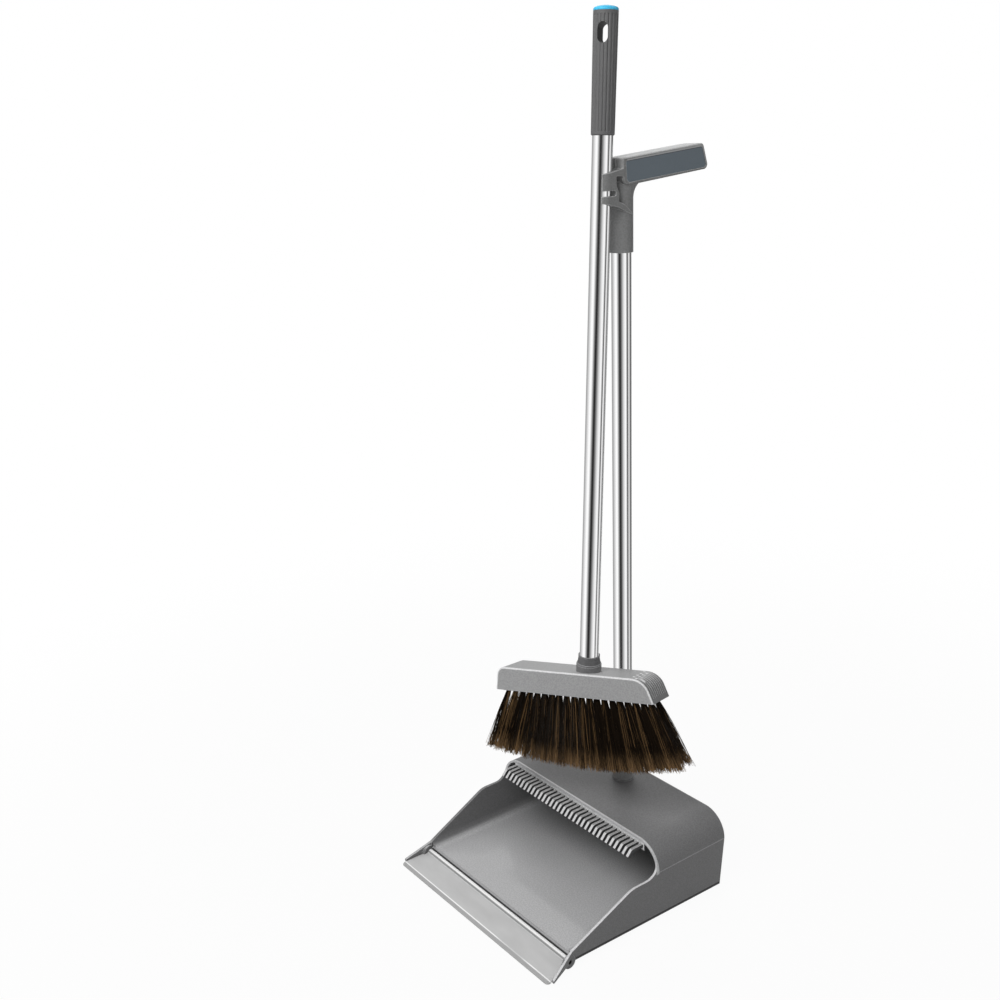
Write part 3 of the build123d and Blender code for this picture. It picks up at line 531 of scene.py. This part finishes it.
# Broom grip: a fluted sleeve with a hanging slot, pressed on the top of the tube.
# Dark grey soft plastic, painted black inside the slot as shade, closed by a glossy blue plug.
broom_tilt = math.radians(2.7)
broom_way = Vector((0.0, math.sin(broom_tilt), math.cos(broom_tilt)))
clip_middle = Vector((0.0, -26.5, 759.0)) * mm
clip_above_foot = 535.0 * mm
broom_foot = clip_middle - broom_way * clip_above_foot
slot_depth_radius = 10.6 * mm
sleeve_tone = (0.105, 0.105, 0.106)
slot_shade_black = (0.006, 0.006, 0.006)
plug_tone = (0.045, 0.5, 0.8)


def slot_shade(finish):
    # painted shade inside the slot, measured out from the tilted line of the broom
    line_y = broom_foot.y + (finish.along("Z") - broom_foot.z) * math.tan(broom_tilt)
    from_line = finish.length(finish.along("X"), finish.along("Y") - line_y)
    return finish.under(from_line, slot_depth_radius, soft=0.6 * mm)


grip_dark = moulded_plastic(
    "grip_dark",
    sleeve_tone,
    roughness=0.5,
    grain=1300.0,
    rim=1.4,
    radius=0.6 * mm,
    zones=[(slot_shade, slot_shade_black, 0.6)],
)
put_on(grip_dark, "broom_grip")
cap_blue = moulded_plastic("cap_blue", plug_tone, roughness=0.22, grain=300.0, depth=0.02 * mm, rim=1.15)
put_on(cap_blue, "grip_cap")

# Broom block: the moulded back of the broom head with the round boss for the pole.
# Grey plastic a little paler than the pan, its right end sloped, grooved and painted darker as shade,
# its front chamfer and the groove ends painted with highlights.
head_yaw = math.radians(27.0)
head_roll = math.radians(6.0)
head_tilt = math.radians(12.0)
head_drop = 9.2 * mm
level = Vector((math.cos(head_yaw), math.sin(head_yaw), 0.0))
level = (level - broom_way * level.dot(broom_way)).normalized()
head_along = level * math.cos(head_roll) + broom_way * math.sin(head_roll)
rolled_up = broom_way * math.cos(head_roll) - level * math.sin(head_roll)
head_up = rolled_up * math.cos(head_tilt) + rolled_up.cross(head_along) * math.sin(head_tilt)
head_turn = Matrix((head_along, head_up.cross(head_along), head_up)).transposed().to_4x4()
head_place = Matrix.Translation(broom_foot - broom_way * head_drop) @ head_turn
groove_pitch = 5.6 * mm
groove_start = 63.6 * mm
groove_step = 9.0 * mm
groove_half = 4.0 * groove_pitch
groove_mark = 1.1 * mm
block_tone = (0.31, 0.31, 0.312)
boss_tone = (0.15, 0.15, 0.152)


def groove_end_glints(finish):
    # one small painted highlight where each groove runs out on top of the block, every other one further in
    spot = finish.node("ShaderNodeTexCoord", {}, {}, "Object")
    turned = finish.node(
        "ShaderNodeMapping",
        {"vector_type": "TEXTURE"},
        {"Vector": spot, "Location": head_place.translation, "Rotation": head_place.to_euler()},
    )
    row_x = finish.node("ShaderNodeSeparateXYZ", {}, {"Vector": turned}, "X")
    row_y = finish.node("ShaderNodeSeparateXYZ", {}, {"Vector": turned}, "Y")
    every_other = finish.one("FRACT", finish.one("FLOOR", row_y / groove_pitch) * 0.5) * groove_step
    off_y = (finish.one("FRACT", row_y / groove_pitch) - 0.5) * groove_pitch
    from_end = finish.length(row_x + every_other - groove_start, off_y)
    on_block = finish.near(row_y, 0.0, reach=groove_half - 0.1 * groove_pitch, soft=0.2 * groove_pitch)
    return finish.under(from_end, groove_mark, soft=0.7 * mm) * on_block


def front_chamfer_highlight(finish):
    # a painted highlight on the chamfer along the front of the block and down its sloped end
    forward = finish.facing(head_along.cross(head_up))
    return finish.over(forward, 0.6, soft=0.15) * finish.under(forward, 0.82, soft=0.1)


def sloped_end_shade(finish):
    # painted shade on the sloped end, which is also rougher
    return finish.over(finish.facing(head_along), 0.75, soft=0.6)


block_grey = moulded_plastic(
    "block_grey",
    block_tone,
    roughness=0.45,
    zones=[
        (sloped_end_shade, shaded(block_tone, 0.56), 0.5),
        (front_chamfer_highlight, shaded(block_tone, 2.3), 0.36),
        (groove_end_glints, shaded(block_tone, 3.0), 0.4),
    ],
)
put_on(block_grey, "block_cover")
boss_grey = moulded_plastic("boss_grey", boss_tone, roughness=0.45, rim=2.2, radius=0.9 * mm)
put_on(boss_grey, "boss_ring")

# Bristles: four rows of tufts, each set in the holes of its own strip on the underside of the block.
# Dark brown split fibre, trimmed to a bowed edge and fanned wider towards the sloped end, with paler
# strands among the dark ones and the tips bleached by wear.
strip_tone = (0.1, 0.1, 0.102)
fibre_black = (0.005, 0.0035, 0.0025)
fibre_brown = (0.02, 0.0125, 0.007)
fibre_fair = (0.25, 0.15, 0.068)
fibre_bleached = (0.3, 0.185, 0.09)
fibre_roughness = 0.42
fair_rough = 0.2
strip_grey = moulded_plastic("strip_grey", strip_tone, roughness=0.5, grain=2000.0)
bristle_brown, finish = new_finish("bristle_brown")
tipward = finish.node("ShaderNodeAttribute", {"attribute_name": "along"}, {}, "Fac")
shade = finish.node("ShaderNodeAttribute", {"attribute_name": "shade"}, {}, "Fac")
fibre = finish.tint(shade, fibre_black, fibre_brown)
# paler fibres and clumps at random: partly a mix of fibre, partly painted glints of light on the tufts
fibre = finish.tint(finish.over(shade, 0.86, soft=0.18), fibre, fibre_fair)
worn_tip = finish.fade(tipward, low=0.7, high=1.0, end=0.9)
worn_tip = worn_tip * finish.fade(shade, low=0.25, high=0.7, start=0.15)
fibre = finish.tint(worn_tip, fibre, fibre_bleached)
fibre_rough = fibre_roughness + fair_rough * shade
fibre_shader = finish.node(
    "ShaderNodeBsdfPrincipled",
    {},
    {"Base Color": fibre, "Roughness": fibre_rough, "Specular IOR Level": 0.02},
)
finish.node("ShaderNodeOutputMaterial", {}, {"Surface": fibre_shader})

row_tree = bpy.data.node_groups.new("bristle_row", "GeometryNodeTree")
row_inputs = {}
for name, kind in (
    ("Tufts", "NodeSocketInt"),
    ("Fibres per tuft", "NodeSocketInt"),
    ("Stagger", "NodeSocketFloat"),
    ("Pitches", "NodeSocketInt"),
    ("First tuft", "NodeSocketFloat"),
    ("Last tuft", "NodeSocketFloat"),
    ("Row place", "NodeSocketFloat"),
    ("Fan left", "NodeSocketFloat"),
    ("Fan right", "NodeSocketFloat"),
    ("Row lean", "NodeSocketFloat"),
    ("Tuft radius", "NodeSocketFloat"),
    ("Splay", "NodeSocketFloat"),
    ("Length", "NodeSocketFloat"),
    ("Left trim", "NodeSocketFloat"),
    ("Middle trim", "NodeSocketFloat"),
    ("Right trim", "NodeSocketFloat"),
    ("Fibre radius", "NodeSocketFloat"),
    ("Strip middle", "NodeSocketVector"),
    ("Strip size", "NodeSocketVector"),
    ("Seat radius", "NodeSocketFloat"),
    ("Seed", "NodeSocketInt"),
):
    row_inputs[name] = row_tree.interface.new_socket(name=name, in_out="INPUT", socket_type=kind).identifier
row_tree.interface.new_socket(name="Geometry", in_out="OUTPUT", socket_type="NodeSocketGeometry")
row = Tree(row_tree)
group_in = row.node("NodeGroupInput", {}, {}).socket.node
given = {name: Wire(row, group_in.outputs[name]) for name in row_inputs}
number = row.node("GeometryNodeInputIndex", {}, {})
fibre_stray = 0.03
tuft_stray = 0.02
most_bow = 2.2 * mm
shortest_cut = 0.94
longest_cut = 1.015
clumps_per_tuft = 5.0
own_shade = 0.55
clump_shade = 0.45
tip_taper = 0.45
seat_depth = 1.2 * mm
seat_z = -1.0 * mm


def chance(low, high, step, per):
    # a random number for each thing counted, its step telling one draw from the next; the sockets
    # of the lowest and highest number, and the number that comes out, go by their own number
    return row.node(
        "FunctionNodeRandomValue",
        {"data_type": "FLOAT"},
        {2: low, 3: high, "ID": per, "Seed": given["Seed"] + float(step)},
        1,
    )


def keep(geometry, name, kind, value):
    return row.node(
        "GeometryNodeStoreNamedAttribute",
        {"data_type": kind, "domain": "POINT"},
        {"Geometry": geometry, "Name": name, "Value": value},
    )


def kept(name):
    return row.node("GeometryNodeInputNamedAttribute", {"data_type": "FLOAT_VECTOR"}, {"Name": name})


def arrow(x, y, z):
    return row.node("ShaderNodeCombineXYZ", {}, {"X": x, "Y": y, "Z": z})


def stretched(way, times, start):
    return row.node(
        "ShaderNodeVectorMath",
        {"operation": "MULTIPLY_ADD"},
        {0: way, 1: arrow(times, times, times), 2: start},
    )


def across_row(count):
    return (count + given["Stagger"]) / given["Pitches"]


def row_spot(share):
    return given["First tuft"] + share * (given["Last tuft"] - given["First tuft"])


# where each fibre stands in its tuft, which way it leans, and how long it is trimmed
tuft = row.one("FLOOR", number / given["Fibres per tuft"])
share = across_row(tuft)
turn = chance(0.0, math.tau, 1, number)
out = row.one("SQRT", chance(0.0, 1.0, 2, number))
out_x = out * row.one("COSINE", turn)
out_y = out * row.one("SINE", turn)
lean_x = given["Fan left"] + share * (given["Fan right"] - given["Fan left"])
lean_x = lean_x + out_x * given["Splay"] + chance(-fibre_stray, fibre_stray, 3, number)
lean_x = lean_x + chance(-tuft_stray, tuft_stray, 4, tuft)
lean_y = given["Row lean"] + out_y * given["Splay"] + chance(-fibre_stray, fibre_stray, 5, number)
left_part = (2.0 * share - 1.0) * (share - 1.0)
middle_part = 4.0 * share * (1.0 - share)
right_part = share * (2.0 * share - 1.0)
trim = left_part * given["Left trim"] + middle_part * given["Middle trim"] + right_part * given["Right trim"]
size = (given["Length"] + trim) * chance(shortest_cut, longest_cut, 6, number)
root_x = row_spot(share) + out_x * given["Tuft radius"]
root_y = given["Row place"] + out_y * given["Tuft radius"]
way = arrow(size * row.one("TANGENT", lean_x), size * row.one("TANGENT", lean_y), 0.0 - size)
bow = arrow(chance(-most_bow, most_bow, 7, number), chance(-most_bow, most_bow, 8, number), 0.0)
clump = tuft * clumps_per_tuft + row.one("FLOOR", turn / math.tau * clumps_per_tuft)
fibres = row.node("GeometryNodePoints", {}, {"Count": given["Tufts"] * given["Fibres per tuft"]})
fibres = keep(fibres, "root", "FLOAT_VECTOR", arrow(root_x, root_y, 0.0))
fibres = keep(fibres, "way", "FLOAT_VECTOR", way)
fibres = keep(fibres, "bow", "FLOAT_VECTOR", bow)
tones = chance(0.0, own_shade, 9, number) + chance(0.0, clump_shade, 10, clump)
fibres = keep(fibres, "shade", "FLOAT", tones)

# a thread on each of those points, drawn out to its length, bowed, and tapered to its tip
thread = row.node("GeometryNodeCurvePrimitiveLine", {}, {"Start": (0.0, 0.0, 0.0), "End": (0.0, 0.0, -1.0)})
thread = row.node("GeometryNodeResampleCurve", {}, {"Curve": thread, "Count": 6})
strands = row.node("GeometryNodeInstanceOnPoints", {}, {"Points": fibres, "Instance": thread})
strands = row.node("GeometryNodeRealizeInstances", {}, {"Geometry": strands})
run = row.node("GeometryNodeSplineParameter", {}, {}, "Factor")
strands = keep(strands, "along", "FLOAT", run)
straight = stretched(kept("way"), run, kept("root"))
bowed = stretched(kept("bow"), run * (1.0 - run) * 4.0, straight)
strands = row.node("GeometryNodeSetPosition", {}, {"Geometry": strands, "Position": bowed})
strands = row.node("GeometryNodeSetCurveRadius", {}, {"Curve": strands, "Radius": 1.0 - run * tip_taper})
ring = row.node("GeometryNodeCurvePrimitiveCircle", {}, {"Resolution": 3, "Radius": given["Fibre radius"]})
strands = row.node(
    "GeometryNodeCurveToMesh", {}, {"Curve": strands, "Profile Curve": ring, "Fill Caps": True}
)
strands = row.node("GeometryNodeSetMaterial", {}, {"Geometry": strands, "Material": bristle_brown})

# the strip that carries the row, with a round seat at each tuft
strip = row.node("GeometryNodeMeshCube", {}, {"Size": given["Strip size"]})
strip = row.node("GeometryNodeTransform", {}, {"Geometry": strip, "Translation": given["Strip middle"]})
seat = row.node(
    "GeometryNodeMeshCylinder", {}, {"Vertices": 12, "Radius": given["Seat radius"], "Depth": seat_depth}
)
hole_spot = arrow(row_spot(across_row(number)), given["Row place"], seat_z)
holes = row.node("GeometryNodePoints", {}, {"Count": given["Tufts"], "Position": hole_spot})
seats = row.node("GeometryNodeInstanceOnPoints", {}, {"Points": holes, "Instance": seat})
backing = row.node("GeometryNodeJoinGeometry", {}, {"Geometry": [strip, seats]})
backing = row.node("GeometryNodeSetMaterial", {}, {"Geometry": backing, "Material": strip_grey})
whole = row.node("GeometryNodeJoinGeometry", {}, {"Geometry": [strands, backing]})
whole = row.node("GeometryNodeRealizeInstances", {}, {"Geometry": whole})
row.node("NodeGroupOutput", {}, {"Geometry": whole})

strip_width = 11.6 * mm
strip_left = -94.0 * mm
strip_right = 83.0 * mm
strip_gap = 0.1 * mm
row_shift = 0.5
row_count = 4
middle_row = (row_count - 1) / 2
for index in range(row_count):
    row_place = (index - middle_row) * strip_width
    shape = bpy.data.meshes.new(f"bristle_row_{index + 1}")
    piece = bpy.data.objects.new(f"bristle_row_{index + 1}", shape)
    bpy.context.scene.collection.objects.link(piece)
    tufts = piece.modifiers.new("tufts", "NODES")
    tufts.node_group = row_tree
    for name, value in {
        "Tufts": 20 - index % 2,
        "Fibres per tuft": 140,
        "Stagger": index % 2 / 2,
        "Pitches": 19,
        "First tuft": (-89.5 - row_shift * index) * mm,
        "Last tuft": (78.5 - row_shift * index) * mm,
        "Row place": row_place,
        "Fan left": math.radians(-15.0),
        "Fan right": math.radians(26.0),
        "Row lean": math.radians(5.0) * (index - middle_row) / middle_row,
        "Tuft radius": 2.35 * mm,
        "Splay": math.radians(3.8),
        "Length": 74.0 * mm,
        "Left trim": -7.5 * mm,
        "Middle trim": 4.5 * mm,
        "Right trim": -5.0 * mm,
        "Fibre radius": 0.2 * mm,
        "Strip middle": ((strip_left + strip_right) / 2, row_place, 1.0 * mm),
        "Strip size": (strip_right - strip_left, strip_width - strip_gap, 4.0 * mm),
        "Seat radius": 2.8 * mm,
        "Seed": 40 + 20 * index,
    }.items():
        tufts[row_inputs[name]] = value
    evaluated = piece.evaluated_get(bpy.context.evaluated_depsgraph_get())
    made = bpy.data.meshes.new_from_object(evaluated)
    piece.modifiers.remove(tufts)
    piece.data = made
    made.transform(head_place)
    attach(piece, "head")
    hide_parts(f"bristles_{index + 1}")
    piece.visible_glossy = False

# Studio: a pale floor that runs out of sight, soft lamps, and a camera a little above the pan.
# A ring of card with soft grey bands, seen only in reflections, puts the dark lines on the steel tubes.
floor_half = 7.0
floor_z = -0.4 * mm
floor_tone = (0.6, 0.6, 0.6, 1.0)
white_tone = (1.0, 1.0, 1.0, 1.0)
shadow_near = 0.35
shadow_far = 1.3
shadow_share = 0.05
floor_corners = [(x * floor_half, y * floor_half, floor_z) for x, y in ((-1, -1), (1, -1), (1, 1), (-1, 1))]
floor_mesh = bpy.data.meshes.new("floor")
floor_mesh.from_pydata(floor_corners, [], [(0, 1, 2, 3)])
floor = bpy.data.objects.new("floor", floor_mesh)
bpy.context.scene.collection.objects.link(floor)


def seen_white(tree):
    # 1 on the rays that show the background itself, 0 on those that only carry its light
    kinds = ("Is Camera Ray", "Is Glossy Ray", "Is Transmission Ray")
    first, second, third = [tree.node("ShaderNodeLightPath", {}, {}, kind) for kind in kinds]
    return first + second + third


floor_pale, finish = new_finish("floor_pale")
far_off = finish.length(finish.along("X"), finish.along("Y"))
blank = finish.fade(far_off, shadow_near, shadow_far, start=1.0 - shadow_share)
paint = finish.node("ShaderNodeBsdfDiffuse", {}, {"Color": floor_tone})
white = finish.node("ShaderNodeEmission", {}, {"Color": white_tone, "Strength": 1.0})
floor_shader = finish.node("ShaderNodeMixShader", {}, {0: seen_white(finish) * blank, 1: paint, 2: white})
finish.node("ShaderNodeOutputMaterial", {}, {"Surface": floor_shader})
floor_mesh.materials.append(floor_pale)

world = bpy.data.worlds.new("studio")
bpy.context.scene.world = world
world.use_nodes = True
world.node_tree.nodes.clear()
sky = Tree(world.node_tree)
ambient = 0.12
sky_light = ambient + seen_white(sky) * (1.0 - ambient)
light = sky.node("ShaderNodeBackground", {}, {"Color": white_tone, "Strength": sky_light})
sky.node("ShaderNodeOutputWorld", {}, {"Surface": light})


def stand_off(turn, rise):
    # the way from the object to something that stands round it at a turn and a rise, 0 being its front
    return Vector((math.sin(turn) * math.cos(rise), -math.cos(turn) * math.cos(rise), math.sin(rise)))


aim = Vector((0.0, -0.06, 0.25))
lamp_reach = 2.0
lamp_size = 1.2
for name, turn_deg, rise_deg, power in (
    ("key", 10.0, 50.0, 28.0),
    ("fill", 50.0, 30.0, 6.0),
    ("back left", -120.0, 40.0, 11.0),
    ("back right", 150.0, 40.0, 5.0),
    ("low back", -160.0, 12.0, 8.0),
):
    away = stand_off(math.radians(turn_deg), math.radians(rise_deg))
    lamp = bpy.data.lights.new(name, "AREA")
    lamp.size = lamp_size
    lamp.energy = power
    holder = bpy.data.objects.new(name, lamp)
    holder.location = aim + away * lamp_reach
    holder.rotation_euler = away.to_track_quat("Z", "Y").to_euler()
    bpy.context.scene.collection.objects.link(holder)

card_radius = 0.45
card_low = 1.0 * mm
card_top = 1.3
card_sides = 120
card_bands = (
    (-180.0, 0.12),
    (-168.0, 0.08),
    (-158.0, 0.35),
    (-145.0, 0.85),
    (-118.0, 0.85),
    (-104.0, 0.5),
    (-92.0, 0.35),
    (-70.0, 0.52),
    (-50.0, 0.75),
    (-35.0, 1.0),
    (-20.0, 1.2),
    (-8.0, 1.15),
    (4.0, 0.6),
    (15.0, 0.2),
    (26.0, 0.012),
    (36.0, 0.03),
    (49.0, 0.24),
    (60.0, 0.52),
    (71.0, 0.82),
    (83.0, 1.02),
    (95.0, 1.2),
    (102.0, 0.9),
    (112.0, 0.16),
    (120.0, 0.16),
    (128.0, 0.9),
    (140.0, 1.1),
    (150.0, 0.6),
    (166.0, 0.16),
    (180.0, 0.12),
)
card_turns = [math.tau * step / card_sides for step in range(card_sides)]
card_rims = [
    (card_radius * math.sin(turn), -card_radius * math.cos(turn), height)
    for height in (card_low, card_top)
    for turn in card_turns
]
card_faces = [
    (step, (step + 1) % card_sides, card_sides + (step + 1) % card_sides, card_sides + step)
    for step in range(card_sides)
]
card_mesh = bpy.data.meshes.new("card")
card_mesh.from_pydata(card_rims, [], card_faces)
card_grey, finish = new_finish("card_grey")
card_front = 0.0 - finish.along("Y")
card_turn = finish.node("ShaderNodeMath", {"operation": "ARCTAN2"}, {0: finish.along("X"), 1: card_front})
bands = finish.node(
    "ShaderNodeValToRGB",
    {"stops": [(turn_deg / 360.0 + 0.5, grey) for turn_deg, grey in card_bands]},
    {"Fac": card_turn / math.tau + 0.5},
)
card_shader = finish.node("ShaderNodeEmission", {}, {"Color": bands, "Strength": 1.0})
finish.node("ShaderNodeOutputMaterial", {}, {"Surface": card_shader})
card_mesh.materials.append(card_grey)
card = bpy.data.objects.new("card", card_mesh)
bpy.context.scene.collection.objects.link(card)
card.visible_camera = False
card.visible_diffuse = False
card.visible_shadow = False
card.visible_transmission = False
for name in ("broom_tube", "pole_tip", "boss_ring", "block_cover"):
    nodes[name].visible_glossy = False

bpy.context.scene.view_settings.view_transform = "Standard"

lens_px = 1188.58
frame_px = 1000.0
camera_at = Vector((0.9141, -0.842, 0.8172))
azimuth = math.radians(53.487)
rise = math.radians(17.181)
roll = math.radians(-2.009)
camera_data = bpy.data.cameras.new("camera")
camera_data.sensor_width = 36.0
camera_data.sensor_fit = "HORIZONTAL"
camera_data.lens = camera_data.sensor_width * lens_px / frame_px
camera = bpy.data.objects.new("camera", camera_data)
back = stand_off(azimuth, rise)
right = Vector((math.cos(azimuth), math.sin(azimuth), 0.0))
rolled_right = right * math.cos(roll) + back.cross(right) * math.sin(roll)
camera_turn = Matrix((rolled_right, back.cross(rolled_right), back)).transposed().to_4x4()
camera.matrix_world = Matrix.Translation(camera_at) @ camera_turn
bpy.context.scene.collection.objects.link(camera)
bpy.context.scene.camera = camera
